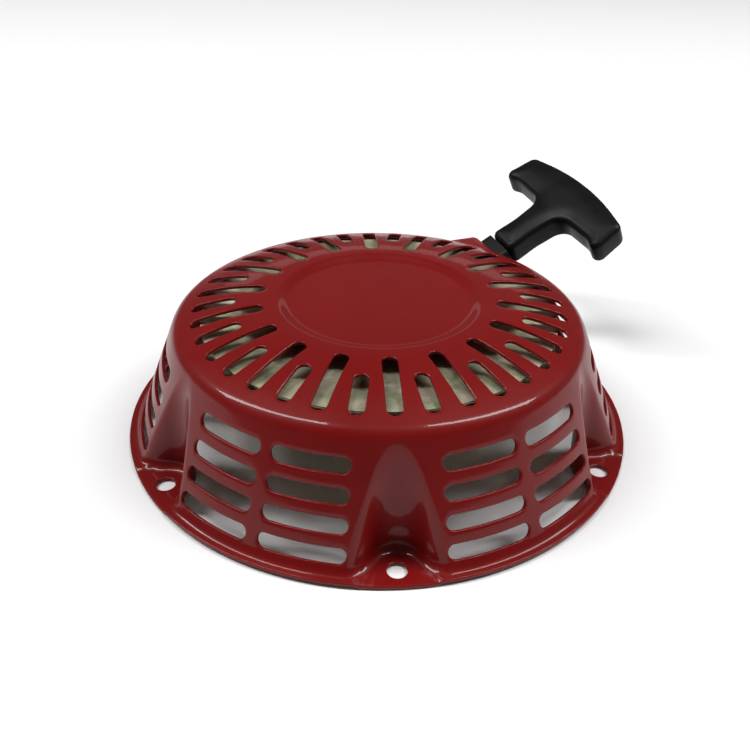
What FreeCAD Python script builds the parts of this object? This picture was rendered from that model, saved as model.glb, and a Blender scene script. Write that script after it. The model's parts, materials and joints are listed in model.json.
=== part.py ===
"""Recoil starter for a horizontal-shaft small engine, one STEP file per piece.

Millimetres. The origin is the centre of the bolt circle on the flange's mounting face, +Z points away
from the engine through the domed top, and one bolt hole lies on -Y. Azimuths are degrees from -Y
towards +X. The rope leaves the reel along a tangent, so the exit has its own directions: "along" is
the rope's way out and "across" is the distance from the spin axis.
"""
import FreeCAD
import Part
import math
import os

V = FreeCAD.Vector

# --- pressed steel housing -------------------------------------------------------------------------
SHEET = 1.6
FLANGE_R = 120.0
WALL_FOOT_R = 116.2
WALL_LEAN_DEG = 22.3
CROWN_Z = 63.3
CROWN_FLAT_R = 50.0
CROWN_ARC_R = 118.0
CROWN_END_R = 89.7
SHOULDER_FILLET = 7.7
FOOT_FILLET = 3.0
DISH_DEPTH = 2.0
DISH_FLOOR_R = 42.0
DISH_RIM_R = 47.0
DISH_FILLET = 4.0

BOLTS = 6
BOLT_CIRCLE_R = 111.4
BOLT_HOLE_R = 4.1

POCKET_BACK_R = 99.5
POCKET_NOSE_R = 12.0
POCKET_FLARE_DEG = 32.0
POCKET_LEAN = 0.04
POCKET_EDGE_FILLET = 3.5

TOP_SLOTS = 36
SLOT_WIDTH = 6.5
SLOT_OUTER_R = 86.7
SLOT_LONG_INNER_R = 53.7
SLOT_SHORT_INNER_R = 65.9

LOUVRE_ROWS_Z = (9.2, 20.2, 31.2, 42.4)
LOUVRE_HEIGHT = 6.0
LOUVRE_COLUMN_AZ = 10.7
LOUVRE_HALF_SPAN_DEG = 9.3

# --- rope exit -------------------------------------------------------------------------------------
EXIT_AZ = 107.3
EXIT_FACE = 86.0
HUMP_INNER = 33.0
HUMP_OUTER = 68.0
HUMP_FLOOR_Z = 37.0
HUMP_ROOF_Z = 54.6
HUMP_FILLET = 4.0
HUMP_BAY = 2
GUIDE_HOLE_R = 4.9
GUIDE_HOLE_Z = 46.4
GUIDE_COLLAR_HALF_WIDTH = 11.0
GUIDE_COLLAR_HALF_HEIGHT = 5.8
GUIDE_COLLAR_DEPTH = 12.0
EYELET_R = 4.4
EYELET_CLEARANCE = 1.2
EYELET_FROM_U = -6.0

# --- rope, reel and spring -------------------------------------------------------------------------
ROPE_R = 2.5
ROPE_COLUMNS_Z = (47.2, 52.1)
ROPE_LAYERS = 3
ROPE_BEND_R = 14.0
ROPE_RUN_START = 24.0
LAYER_STEP = 4.8
REEL_FLANGE_R = 82.0
REEL_CORE_R = 41.7
REEL_SHEET = 1.2
GROOVE_BOTTOM_Z = 44.4
GROOVE_TOP_Z = 54.6
REEL_LIP_R = 34.0
REEL_RIVETS = 6
REEL_RIVET_CIRCLE_R = 37.0
REEL_RIVET_R = 2.0
SPRING_INNER_R = 13.4
SPRING_STRIP = 0.9
SPRING_PITCH = 3.2
SPRING_HALF_TURNS = 13
SPRING_BOTTOM_Z = 46.6
SPRING_TOP_Z = 54.4

# --- centre post and ratchet -----------------------------------------------------------------------
RUNNING_FIT = 0.05
HUB_PLATE_R = 38.0
POST_TOP_R = 13.0
POST_R = 9.0
POST_STEP_Z = 45.0
POST_END_Z = 34.0
SCREW_R = 4.0
SCREW_HEAD_Z = (21.2, 26.6)
SCREW_ACROSS_FLATS = 13.0
WASHER_R = 14.0
BOSS_R = 14.0
BUSH_WALL = 2.0
PAWL_PIVOT_R = 22.0
PAWL_PIN_R = 3.0
PAWL_LENGTH = 19.0
PAWL_REST_DEG = -105.0
PAWL_SWING_DEG = 40.0
PAWL_Z = (35.4, 41.0)
PEG_REACH = 12.0
PEG_R = 2.2
GUIDE_TURN_DEG = 36.0
CAM_PLATE_R = 35.0
CAM_PLATE_Z = (31.6, 33.2)
CAM_HUB_R = 12.0
CAM_HUB_BOTTOM_Z = 28.4

# --- T handle --------------------------------------------------------------------------------------
HANDLE_ALONG = 94.9
HANDLE_Z = 49.8
HANDLE_RISE_DEG = 29.0
HANDLE_ROLL_DEG = -10.5
HANDLE_HALF_THICKNESS = 7.7
HANDLE_EDGE_FILLET = 3.5
HANDLE_TOP_U = 55.8
HANDLE_TOP_R = 140.0
HANDLE_CROWN = 4.4
KNOT_CHAMBER_R = 5.6
KNOT_CHAMBER_DEPTH = 15.0
KNOT_R = 4.8
CAP_DEPTH = 3.0


# --- small helpers ---------------------------------------------------------------------------------
def on_circle(radius, azimuth, z=0.0):
    angle = math.radians(azimuth)
    return V(radius * math.sin(angle), -radius * math.cos(angle), z)


def disc(radius, z0, z1, centre=V(0, 0, 0)):
    return Part.makeCylinder(radius, z1 - z0, V(centre.x, centre.y, z0))


def ring(outer, inner, z0, z1, centre=V(0, 0, 0)):
    return disc(outer, z0, z1, centre).cut(disc(inner, z0 - 1, z1 + 1, centre))


def turned(shape, degrees):
    copy = shape.copy()
    copy.rotate(V(0, 0, 0), V(0, 0, 1), degrees)
    return copy


def around(shape, count, first=0.0):
    return [turned(shape, first + 360.0 * i / count) for i in range(count)]


def rounded_edges(corners, closed):
    """Straight edges joined by tangent arcs; a corner is (point, fillet radius)."""
    points = [c[0] for c in corners]
    count = len(corners)
    starts, ends, arcs = [], [], []
    for i, (point, radius) in enumerate(corners):
        inside = closed or 0 < i < count - 1
        if radius <= 0 or not inside:
            starts.append(point)
            ends.append(point)
            arcs.append(None)
            continue
        back = (points[i - 1] - point).normalize()
        ahead = (points[(i + 1) % count] - point).normalize()
        half = math.acos(max(-1.0, min(1.0, back.dot(ahead)))) / 2
        reach = radius / math.tan(half)
        middle_way = (back + ahead).normalize()
        middle = point + middle_way * (radius / math.sin(half) - radius)
        starts.append(point + back * reach)
        ends.append(point + ahead * reach)
        arcs.append(middle)
    edges = []
    for i in range(count):
        if arcs[i] is not None:
            edges.append(Part.Arc(starts[i], arcs[i], ends[i]).toShape())
        if i + 1 < count or closed:
            following = starts[(i + 1) % count]
            if (following - ends[i]).Length > 1e-6:
                edges.append(Part.LineSegment(ends[i], following).toShape())
    return edges


def outline_face(corners):
    return Part.Face(Part.Wire(rounded_edges(corners, True)))


def revolved(corners):
    """Solid of revolution from a closed outline of ((r, z), fillet radius) corners."""
    placed = [(V(r, 0, z), radius) for (r, z), radius in corners]
    return outline_face(placed).revolve(V(0, 0, 0), V(0, 0, 1), 360)


def capsule(a, b, radius, z0, z1):
    """Upright slot-shaped prism between two plan points."""
    way = V(b.x - a.x, b.y - a.y, 0)
    side = V(-way.y, way.x, 0).normalize() * radius
    low = V(0, 0, z0)
    a0 = V(a.x, a.y, 0)
    b0 = V(b.x, b.y, 0)
    ahead = way.normalize() * radius
    edges = [
        Part.LineSegment(a0 + side + low, b0 + side + low).toShape(),
        Part.Arc(b0 + side + low, b0 + ahead + low, b0 - side + low).toShape(),
        Part.LineSegment(b0 - side + low, a0 - side + low).toShape(),
        Part.Arc(a0 - side + low, a0 - ahead + low, a0 + side + low).toShape(),
    ]
    return Part.Face(Part.Wire(edges)).extrude(V(0, 0, z1 - z0))


def filleted(shape, radius, wanted):
    """Fillet the wanted edges, or leave the shape as it is where the fillet can't be made."""
    edges = [e for e in shape.Edges if wanted(e)]
    try:
        result = shape.makeFillet(radius, edges)
    except Exception:
        return shape
    if result.isValid() and result.Volume > 0:
        return result
    return shape


# --- directions at the rope's exit -----------------------------------------------------------------
ALONG = on_circle(1.0, EXIT_AZ)
ACROSS = V(-ALONG.y, ALONG.x, 0)


def exit_point(across, along, z):
    return ALONG * along + ACROSS * across + V(0, 0, z)


def handle_axes():
    rise = math.radians(HANDLE_RISE_DEG)
    roll = math.radians(HANDLE_ROLL_DEG)
    pull = ALONG * math.cos(rise) + V(0, 0, math.sin(rise))
    level = V(ALONG.y, -ALONG.x, 0)
    normal = level.cross(pull)
    width = level * math.cos(roll) + normal * math.sin(roll)
    face = normal * math.cos(roll) - level * math.sin(roll)
    return pull, width, face


ROPE_ACROSS = REEL_CORE_R + ROPE_R + 0.3 + (ROPE_LAYERS - 1) * LAYER_STEP
ROPE_EXIT_Z = ROPE_COLUMNS_Z[0]
PULL, HANDLE_WIDTH_WAY, HANDLE_FACE_WAY = handle_axes()
HANDLE_BASE = exit_point(ROPE_ACROSS, HANDLE_ALONG, HANDLE_Z)
KNOT_SEAT_U = HANDLE_TOP_U - KNOT_CHAMBER_DEPTH


def on_handle(width, reach, height=0.0):
    return HANDLE_BASE + HANDLE_WIDTH_WAY * width + PULL * reach + HANDLE_FACE_WAY * height


def rod_along_handle(radius, u0, u1):
    return Part.makeCylinder(radius, u1 - u0, on_handle(0, u0), PULL)


# --- housing ---------------------------------------------------------------------------------------
def meet(p, d, q, e):
    """Where the line p + k*d meets the line q + m*e, in the (r, z) plane."""
    cross = d[0] * e[1] - d[1] * e[0]
    k = ((q[0] - p[0]) * e[1] - (q[1] - p[1]) * e[0]) / cross
    return (p[0] + k * d[0], p[1] + k * d[1])


def housing_outline():
    """Corners of the outer surface from the axis to the rim, as ((r, z), fillet radius)."""
    lean = math.tan(math.radians(WALL_LEAN_DEG))
    crown_turn = math.asin((CROWN_END_R - CROWN_FLAT_R) / CROWN_ARC_R)
    crown_corner = (CROWN_FLAT_R + CROWN_ARC_R * math.tan(crown_turn / 2), CROWN_Z)
    crown_way = (math.cos(crown_turn), -math.sin(crown_turn))
    shoulder = meet(crown_corner, crown_way, (WALL_FOOT_R, SHEET), (-lean, 1.0))
    floor_z = CROWN_Z - DISH_DEPTH
    return [
        ((0.0, floor_z), 0),
        ((DISH_FLOOR_R, floor_z), DISH_FILLET),
        ((DISH_RIM_R, CROWN_Z), DISH_FILLET),
        (crown_corner, CROWN_ARC_R),
        (shoulder, SHOULDER_FILLET),
        ((WALL_FOOT_R, SHEET), FOOT_FILLET),
        ((FLANGE_R, SHEET), 0),
    ]


def moved_in(outline, distance):
    """The outline moved towards the inside by the distance, fillets kept concentric."""
    points = [c[0] for c in outline]
    lines = []
    for a, b in zip(points, points[1:]):
        length = math.hypot(b[0] - a[0], b[1] - a[1])
        way = ((b[0] - a[0]) / length, (b[1] - a[1]) / length)
        lines.append(((a[0] + way[1] * distance, a[1] - way[0] * distance), way))
    result = [(lines[0][0], 0)]
    for i in range(1, len(points) - 1):
        (p, d), (q, e) = lines[i - 1], lines[i]
        turns_down = d[0] * e[1] - d[1] * e[0] < 0
        radius = outline[i][1] + (-distance if turns_down else distance)
        result.append((meet(p, d, q, e), radius))
    last_point, last_way = lines[-1]
    result.append(((points[-1][0], last_point[1]), 0))
    return result


def pocket(margin, z0):
    """Leaning V-shaped prism with a round nose, open outwards, at azimuth 0."""
    flare = math.radians(POCKET_FLARE_DEG)
    nose_r = POCKET_NOSE_R + margin
    nose_centre = POCKET_BACK_R + POCKET_NOSE_R - POCKET_LEAN * (z0 - SHEET)
    mouth_r = FLANGE_R + 25
    tip = nose_centre - nose_r / math.sin(flare)
    half = (mouth_r - tip) * math.tan(flare)
    corners = [
        (V(0, -tip, z0), nose_r),
        (V(half, -mouth_r, z0), 0),
        (V(-half, -mouth_r, z0), 0),
    ]
    height = CROWN_Z - z0
    return outline_face(corners).extrude(V(0, POCKET_LEAN * height, height))


def hump(margin):
    """Block of the rope exit's bulge, its walls moved in by the margin."""
    inner, outer = HUMP_INNER + margin, HUMP_OUTER - margin
    face = EXIT_FACE - margin
    low, high = HUMP_FLOOR_Z + margin, HUMP_ROOF_Z - margin
    start = 40.0
    plan = [
        (exit_point(inner, start, low), 0),
        (exit_point(inner, face, low), HUMP_FILLET - margin),
        (exit_point(outer, face, low), HUMP_FILLET + 2 - margin),
        (exit_point(outer, start, low), 0),
    ]
    block = outline_face(plan).extrude(V(0, 0, high - low))
    radius = HUMP_FILLET - margin

    def rim(edge):
        box = edge.BoundBox
        level = box.ZLength < 0.01 and (abs(box.ZMin - high) < 0.01 or abs(box.ZMin - low) < 0.01)
        middle = edge.CenterOfMass
        return level and middle.dot(ALONG) > start + 1

    return filleted(block, radius, rim)


def top_slots():
    cutters = []
    for i in range(TOP_SLOTS):
        inner = SLOT_LONG_INNER_R if i % 2 == 0 else SLOT_SHORT_INNER_R
        azimuth = 360.0 * i / TOP_SLOTS
        half = SLOT_WIDTH / 2
        a = on_circle(inner + half, azimuth)
        b = on_circle(SLOT_OUTER_R - half, azimuth)
        cutters.append(capsule(a, b, half, 50, 70))
    return cutters


def wall_radius(z):
    return WALL_FOOT_R - (z - SHEET) * math.tan(math.radians(WALL_LEAN_DEG))


def louvres():
    """Four rows in two columns between each pair of bolt pockets, less the top two by the exit."""
    cutters = []
    for bay in range(BOLTS):
        for side in (-1, 1):
            azimuth = 30.0 + 60.0 * bay + side * LOUVRE_COLUMN_AZ
            for z in LOUVRE_ROWS_Z:
                if bay == HUMP_BAY and z + LOUVRE_HEIGHT / 2 > HUMP_FLOOR_Z:
                    continue
                reach = wall_radius(z) * math.sin(math.radians(LOUVRE_HALF_SPAN_DEG))
                half = LOUVRE_HEIGHT / 2
                flat = capsule(V(-reach + half, 0, 0), V(reach - half, 0, 0), half, 90, 125)
                flat.rotate(V(0, 0, 0), V(1, 0, 0), 90)
                flat.translate(V(0, 0, z))
                cutters.append(turned(flat, azimuth))
    return cutters


def drum(margin):
    """Filled shape inside the pressing's outer skin, moved in by the margin, on its flange."""
    outline = moved_in(housing_outline(), margin)
    foot_z = outline[-1][0][1]
    plate_r, plate_bottom = (FLANGE_R, 0.0) if margin == 0 else (FLANGE_R + 5, -5.0)
    corners = outline[:-1] + [
        ((plate_r, foot_z), 0),
        ((plate_r, plate_bottom), 0),
        ((0.0, plate_bottom), 0),
    ]

    def foot_line(edge):
        box = edge.BoundBox
        return box.ZMax < foot_z + 0.01 and box.YMax > -FLANGE_R

    def pocket_rim(edge):
        box = edge.BoundBox
        middle = edge.CenterOfMass
        skin = margin / math.cos(math.radians(WALL_LEAN_DEG))
        radius = math.hypot(middle.x, middle.y)
        return box.ZLength > 5 and box.ZMax < 50 and abs(radius + skin - wall_radius(middle.z)) < 1.6

    cutter = filleted(pocket(margin, foot_z), FOOT_FILLET + margin, foot_line)
    body = revolved(corners).cut(around(cutter, BOLTS))
    return filleted(body, POCKET_EDGE_FILLET - margin, pocket_rim)


def make_housing():
    shell = drum(0.0).fuse(hump(0.0)).cut(drum(SHEET).fuse(hump(SHEET)))
    shell = shell.cut(top_slots())
    shell = shell.cut(louvres())
    hole = disc(BOLT_HOLE_R, -1, SHEET + 1, on_circle(BOLT_CIRCLE_R, 0))
    shell = shell.cut(around(hole, BOLTS))
    start = exit_point(ROPE_ACROSS, EXIT_FACE - 8, GUIDE_HOLE_Z)
    return shell.cut(Part.makeCylinder(GUIDE_HOLE_R, 12, start, ALONG)).removeSplitter()


# --- rope's path -----------------------------------------------------------------------------------
def rope_bend():
    """Where the level run from the reel meets the line of the handle."""
    drop = (HANDLE_Z - ROPE_EXIT_Z) / math.tan(math.radians(HANDLE_RISE_DEG))
    return exit_point(ROPE_ACROSS, HANDLE_ALONG - drop, ROPE_EXIT_Z)


def swept_rod(points, radius, bend):
    """Round rod along straight runs joined by tangent arcs."""
    corners = [(p, bend) for p in points]
    path = Part.Wire(rounded_edges(corners, False))
    start_way = (points[1] - points[0]).normalize()
    circle = Part.makeCircle(radius, points[0], start_way)
    return path.makePipeShell([Part.Wire([circle])], True, False)


def make_rope_run():
    """From just clear of the reel's outer turn, through the eyelet and up the stem to the knot."""
    points = [
        exit_point(ROPE_ACROSS, ROPE_RUN_START, ROPE_EXIT_Z),
        rope_bend(),
        on_handle(0, KNOT_SEAT_U + 1.4),
    ]
    return swept_rod(points, ROPE_R, ROPE_BEND_R)


def make_rope_coil():
    """The turns lying side by side and on each other, as the closed ring they fill."""
    bottom, top = ROPE_COLUMNS_Z[0] - ROPE_R, ROPE_COLUMNS_Z[1] + ROPE_R
    crest = ROPE_ACROSS + ROPE_R
    corners = [
        ((REEL_CORE_R + 0.2, bottom + 0.05), 0),
        ((crest - 0.6, bottom + 0.05), 2.0),
        ((crest - 0.6, top), 2.0),
        ((REEL_CORE_R + 0.2, top), 0),
    ]
    return revolved(corners)


# --- reel ------------------------------------------------------------------------------------------
def rivet_places():
    return [on_circle(REEL_RIVET_CIRCLE_R, 15 + 360.0 * i / REEL_RIVETS) for i in range(REEL_RIVETS)]


def make_reel_upper():
    """Upper pressing: flange, rope groove floor and the lip that is riveted to the lower pressing."""
    t = REEL_SHEET
    corners = [
        ((REEL_FLANGE_R, GROOVE_TOP_Z), 0),
        ((REEL_FLANGE_R, GROOVE_TOP_Z + t), 0),
        ((REEL_CORE_R - t, GROOVE_TOP_Z + t), 1.5),
        ((REEL_CORE_R - t, GROOVE_BOTTOM_Z + t), 0.6),
        ((REEL_LIP_R, GROOVE_BOTTOM_Z + t), 0),
        ((REEL_LIP_R, GROOVE_BOTTOM_Z), 0),
        ((REEL_CORE_R, GROOVE_BOTTOM_Z), 1.5),
        ((REEL_CORE_R, GROOVE_TOP_Z), 0.3),
    ]
    upper = revolved(corners)
    holes = [disc(REEL_RIVET_R, 40, 50, p) for p in rivet_places()]
    return upper.cut(holes)


def make_reel_lower():
    """Lower pressing: flat web with lightening windows, the rope's anchor hole and rivet holes."""
    top = GROOVE_BOTTOM_Z
    web = ring(REEL_FLANGE_R, BOSS_R, top - REEL_SHEET, top)
    window = capsule(on_circle(52.0, -14), on_circle(52.0, 14), 4.0, top - 5, top + 5)
    cutters = around(window, 3, 60)
    cutters += [disc(REEL_RIVET_R, 40, 50, p) for p in rivet_places()]
    cutters += [disc(PAWL_PIN_R, 40, 50, p) for p in pawl_pivots()]
    cutters.append(disc(ROPE_R + 0.4, 40, 50, anchor_place()))
    return web.cut(cutters)


def anchor_place():
    return on_circle(REEL_CORE_R + ROPE_R + 0.6, 0)


def make_reel_rivets():
    heads = []
    for place in rivet_places():
        shank = disc(REEL_RIVET_R, GROOVE_BOTTOM_Z - REEL_SHEET, GROOVE_BOTTOM_Z + REEL_SHEET, place)
        top = GROOVE_BOTTOM_Z + REEL_SHEET
        bottom = GROOVE_BOTTOM_Z - REEL_SHEET
        shank = shank.fuse(disc(1.5 * REEL_RIVET_R - 0.2, top, top + 0.6, place))
        heads.append(shank.fuse(disc(1.5 * REEL_RIVET_R, bottom - 1.0, bottom, place)))
    return Part.makeCompound(heads)


def make_reel_boss():
    """Turned boss pressed into the web; it carries the bush."""
    bottom = POST_END_Z + 0.6
    flange = ring(BOSS_R + 3.0, POST_R + BUSH_WALL, GROOVE_BOTTOM_Z - REEL_SHEET - 1.4,
                  GROOVE_BOTTOM_Z - REEL_SHEET)
    return ring(BOSS_R, POST_R + BUSH_WALL, bottom, GROOVE_BOTTOM_Z).fuse(flange).removeSplitter()


def make_reel_bush():
    return ring(POST_R + BUSH_WALL, POST_R + RUNNING_FIT, POST_END_Z + 0.6, GROOVE_BOTTOM_Z)


def make_recoil_spring():
    """Flat spiral strip: semicircles about two centres half a pitch apart, hooked at both ends."""
    def side(offset):
        edges = []
        for k in range(SPRING_HALF_TURNS):
            radius = SPRING_INNER_R + k * SPRING_PITCH / 2 + offset
            centre = V(0 if k % 2 == 0 else SPRING_PITCH / 2, 0, SPRING_BOTTOM_Z)
            sign = 1 if k % 2 == 0 else -1
            edges.append(Part.Arc(centre + V(sign * radius, 0, 0), centre + V(0, sign * radius, 0),
                                  centre - V(sign * radius, 0, 0)).toShape())
        return edges

    inner, outer = side(0.0), side(SPRING_STRIP)
    ends = []
    for k, place in ((0, 0), (SPRING_HALF_TURNS - 1, -1)):
        a = inner[place].Vertexes[place].Point
        b = outer[place].Vertexes[place].Point
        ends.append(Part.LineSegment(a, b).toShape())
    strip = Part.Face(Part.Wire(Part.__sortEdges__(inner + outer + ends)))
    return strip.extrude(V(0, 0, SPRING_TOP_Z - SPRING_BOTTOM_Z))


# --- ratchet ---------------------------------------------------------------------------------------
def pawl_pivots():
    return [V(PAWL_PIVOT_R, 0, 0), V(-PAWL_PIVOT_R, 0, 0)]


def from_pivot(reach, degrees, z=0.0):
    angle = math.radians(degrees)
    return V(PAWL_PIVOT_R + reach * math.cos(angle), reach * math.sin(angle), z)


def make_pawl(index):
    """Hooked lever on its pin, with a peg that runs in the cam plate."""
    z0, z1 = PAWL_Z
    arm = capsule(from_pivot(0, 0), from_pivot(PAWL_LENGTH - 3.2, PAWL_REST_DEG), 3.2, z0, z1)
    eye = disc(5.6, z0, z1, from_pivot(0, 0))
    nose_a = from_pivot(PAWL_LENGTH - 6.0, PAWL_REST_DEG + 6)
    nose_b = from_pivot(PAWL_LENGTH - 1.0, PAWL_REST_DEG + 13)
    nose = capsule(nose_a, nose_b, 2.6, z0, z1)
    peg = disc(PEG_R, CAM_PLATE_Z[0] - 0.8, z0 + 1, from_pivot(PEG_REACH, PAWL_REST_DEG))
    body = arm.fuse([eye, nose, peg]).removeSplitter()
    bore = disc(PAWL_PIN_R + RUNNING_FIT, z0 - 1, z1 + 1, from_pivot(0, 0))
    return turned(body.cut(bore), 180.0 * index)


def make_pawl_pins():
    top = GROOVE_BOTTOM_Z
    head = CAM_PLATE_Z[1] + 0.5
    pins = []
    for place in pawl_pivots():
        shank = disc(PAWL_PIN_R, head, top, place)
        shank = shank.fuse(disc(PAWL_PIN_R + 1.6, head, PAWL_Z[0] - 0.35, place))
        pins.append(shank.fuse(disc(PAWL_PIN_R + 1.0, top, top + 0.8, place)).removeSplitter())
    return Part.makeCompound(pins)


def make_pawl_spring(index):
    """Light torsion spring between the reel's web and the pawl."""
    z = (PAWL_Z[1] + GROOVE_BOTTOM_Z - REEL_SHEET) / 2
    wire_r = 0.45
    coil_r = PAWL_PIN_R + 1.0
    start = from_pivot(coil_r, 310, z)
    finish = from_pivot(coil_r, 270, z)
    loop = Part.Arc(start, from_pivot(coil_r, 110, z), finish).toShape()
    leg = Part.LineSegment(finish, finish + V(9.0, 0, 0)).toShape()
    way = V(-math.sin(math.radians(310)), math.cos(math.radians(310)), 0)
    section = Part.Wire([Part.makeCircle(wire_r, start, way)])
    wire = Part.Wire([loop, leg]).makePipeShell([section], True, False)
    return turned(wire, 180.0 * index)


def cam_path():
    """Places of the peg seen from the cam plate, as both turn from rest to fully out."""
    places = []
    steps = 8
    for i in range(steps + 1):
        part = i / steps
        peg = from_pivot(PEG_REACH, PAWL_REST_DEG + part * PAWL_SWING_DEG)
        back = math.radians(-part * GUIDE_TURN_DEG)
        places.append(V(peg.x * math.cos(back) - peg.y * math.sin(back),
                        peg.x * math.sin(back) + peg.y * math.cos(back), 0))
    return places


def make_cam_plate():
    z0, z1 = CAM_PLATE_Z
    plate = disc(CAM_PLATE_R, z0, z1).fuse(disc(CAM_HUB_R, CAM_HUB_BOTTOM_Z, z1))
    path = cam_path()
    slot = [capsule(a, b, PEG_R + 0.6, z0 - 2, z1 + 2) for a, b in zip(path, path[1:])]
    cutters = slot + [turned(s, 180) for s in slot]
    trim = ring(CAM_PLATE_R + 5, CAM_PLATE_R - 7.0, z0 - 1, z1 + 1)
    wedge = Part.makeBox(60, 22, 10, V(-30, 24.5, z0 - 4))
    cutters += [s.common(trim) for s in around(wedge, 2, 25)]
    cutters.append(disc(POST_R + RUNNING_FIT, CAM_HUB_BOTTOM_Z - 1, z1 + 1))
    return plate.cut(cutters).removeSplitter()


def make_friction_spring():
    z = CAM_HUB_BOTTOM_Z + 1.5
    loop = Part.makeTorus(CAM_HUB_R + 0.8, 0.75, V(0, 0, z))
    leg = Part.makeCylinder(0.75, 9.0, V(CAM_HUB_R + 0.8, 0, z), V(1, 0, 0))
    return loop.fuse(leg)


# --- centre post -----------------------------------------------------------------------------------
def make_hub_plate():
    top = CROWN_Z - DISH_DEPTH - SHEET
    return ring(HUB_PLATE_R, 6.0, top - SHEET, top)


def make_hub_post():
    top = CROWN_Z - DISH_DEPTH - 2 * SHEET
    post = disc(POST_TOP_R, POST_STEP_Z, top).fuse(disc(POST_R, POST_END_Z, POST_STEP_Z + 1))
    post = post.fuse(disc(6.0, top - 1, top + SHEET))
    hook_slot = Part.makeBox(5.0, 1.6, SPRING_TOP_Z - SPRING_BOTTOM_Z + 1, V(9.0, -0.8, SPRING_BOTTOM_Z - 0.5))
    bore = disc(SCREW_R + RUNNING_FIT, POST_END_Z - 1, POST_END_Z + 18)
    return post.cut([hook_slot, bore]).removeSplitter()


def make_guide_collar():
    return ring(POST_R, SCREW_R + RUNNING_FIT, SCREW_HEAD_Z[1] + 1.5, POST_END_Z)


def make_centre_washer():
    low = SCREW_HEAD_Z[1]
    return ring(WASHER_R, SCREW_R + RUNNING_FIT, low, low + 1.5)


def make_centre_screw():
    low, high = SCREW_HEAD_Z
    corner = SCREW_ACROSS_FLATS / math.sqrt(3)
    hexagon = [(V(corner * math.cos(math.radians(60 * i)), corner * math.sin(math.radians(60 * i)), low), 0)
               for i in range(6)]
    head = outline_face(hexagon).extrude(V(0, 0, high - low))
    cone = Part.makeCone(corner - 1.0, corner + 4.4, 5.4, V(0, 0, low))
    return head.common(cone).fuse(disc(SCREW_R, high, POST_END_Z + 16)).removeSplitter()


# --- rope guide and eyelet -------------------------------------------------------------------------
def make_rope_guide():
    """Moulded seat for the handle, with a sleeve through the exit's face."""
    half_w, half_h = GUIDE_COLLAR_HALF_WIDTH, GUIDE_COLLAR_HALF_HEIGHT
    back = -GUIDE_COLLAR_DEPTH
    corners = [(on_handle(half_w, back, half_h), 4.0), (on_handle(-half_w, back, half_h), 4.0),
               (on_handle(-half_w, back, -half_h), 4.0), (on_handle(half_w, back, -half_h), 4.0)]
    seat = outline_face(corners).extrude(PULL * (GUIDE_COLLAR_DEPTH - 0.4))
    seat = seat.cut(hump(0.0)).cut(drum(0.0))
    start = exit_point(ROPE_ACROSS, EXIT_FACE - 5.0, GUIDE_HOLE_Z)
    sleeve = Part.makeCylinder(GUIDE_HOLE_R - 0.02, 7.0, start, ALONG)
    channel_r = ROPE_R + 0.7
    bend = rope_bend()
    level = Part.makeCylinder(channel_r, 10.0, bend - ALONG * 10.0, ALONG)
    rising = Part.makeCylinder(channel_r, 20.0, bend, PULL)
    ferrule = rod_along_handle(EYELET_R, EYELET_FROM_U, 2.0)
    return seat.fuse(sleeve).cut([level, Part.makeSphere(channel_r, bend), rising, ferrule]).removeSplitter()


def make_rope_eyelet():
    """Hard ferrule in the guide's mouth that the rope runs over."""
    bore = rod_along_handle(ROPE_R + EYELET_CLEARANCE, EYELET_FROM_U - 1, 1)
    return rod_along_handle(EYELET_R, EYELET_FROM_U, -0.4).cut(bore)


# --- handle ----------------------------------------------------------------------------------------
def handle_outline():
    """Right half of the T, as (width, reach, fillet), from the stem's foot to the arm's outer end."""
    return [
        (9.4, 0.4, 1.5),
        (8.6, 16.0, 30.0),
        (10.4, 33.8, 8.0),
        (33.0, 34.2, 12.0),
        (43.9, 29.8, 4.0),
        (40.6, 51.4, 5.0),
    ]


def make_handle_grip():
    right = handle_outline()
    corners = [(on_handle(w, u, -HANDLE_HALF_THICKNESS), r) for w, u, r in right]
    corners.append((on_handle(0, HANDLE_TOP_U + HANDLE_CROWN, -HANDLE_HALF_THICKNESS), HANDLE_TOP_R))
    corners += [(on_handle(-w, u, -HANDLE_HALF_THICKNESS), r) for w, u, r in reversed(right)]
    grip = outline_face(corners).extrude(HANDLE_FACE_WAY * (2 * HANDLE_HALF_THICKNESS))

    def long_edge(edge):
        height = (edge.CenterOfMass - HANDLE_BASE).dot(HANDLE_FACE_WAY)
        return abs(abs(height) - HANDLE_HALF_THICKNESS) < 0.01

    for radius in (HANDLE_EDGE_FILLET, 2.4, 1.2):
        rounded = filleted(grip, radius, long_edge)
        if rounded is not grip:
            grip = rounded
            break
    chamber = rod_along_handle(KNOT_CHAMBER_R, KNOT_SEAT_U, HANDLE_TOP_U + 5)
    bore = rod_along_handle(ROPE_R + 0.4, -2, KNOT_SEAT_U + 1)
    return grip.cut([chamber, bore])


def make_handle_washer():
    plate = rod_along_handle(KNOT_CHAMBER_R - 0.6, KNOT_SEAT_U + 0.02, KNOT_SEAT_U + 1.4)
    return plate.cut(rod_along_handle(ROPE_R + 0.3, KNOT_SEAT_U - 1, KNOT_SEAT_U + 3))


def make_handle_knot():
    centre = on_handle(0, KNOT_SEAT_U + 1.45 + KNOT_R * 0.86)
    ball = Part.makeSphere(KNOT_R, centre)
    return ball.cut(rod_along_handle(KNOT_R * 2, KNOT_SEAT_U - 12, KNOT_SEAT_U + 1.45))


def make_handle_cap():
    return rod_along_handle(KNOT_CHAMBER_R - 0.05, HANDLE_TOP_U - CAP_DEPTH, HANDLE_TOP_U - 0.3)


def make_anchor_knot():
    place = anchor_place()
    bottom = GROOVE_BOTTOM_Z - REEL_SHEET - 0.05
    ball = Part.makeSphere(4.2, V(place.x, place.y, bottom - 3.4))
    return ball.cut(disc(20, bottom, bottom + 10, place))


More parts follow.
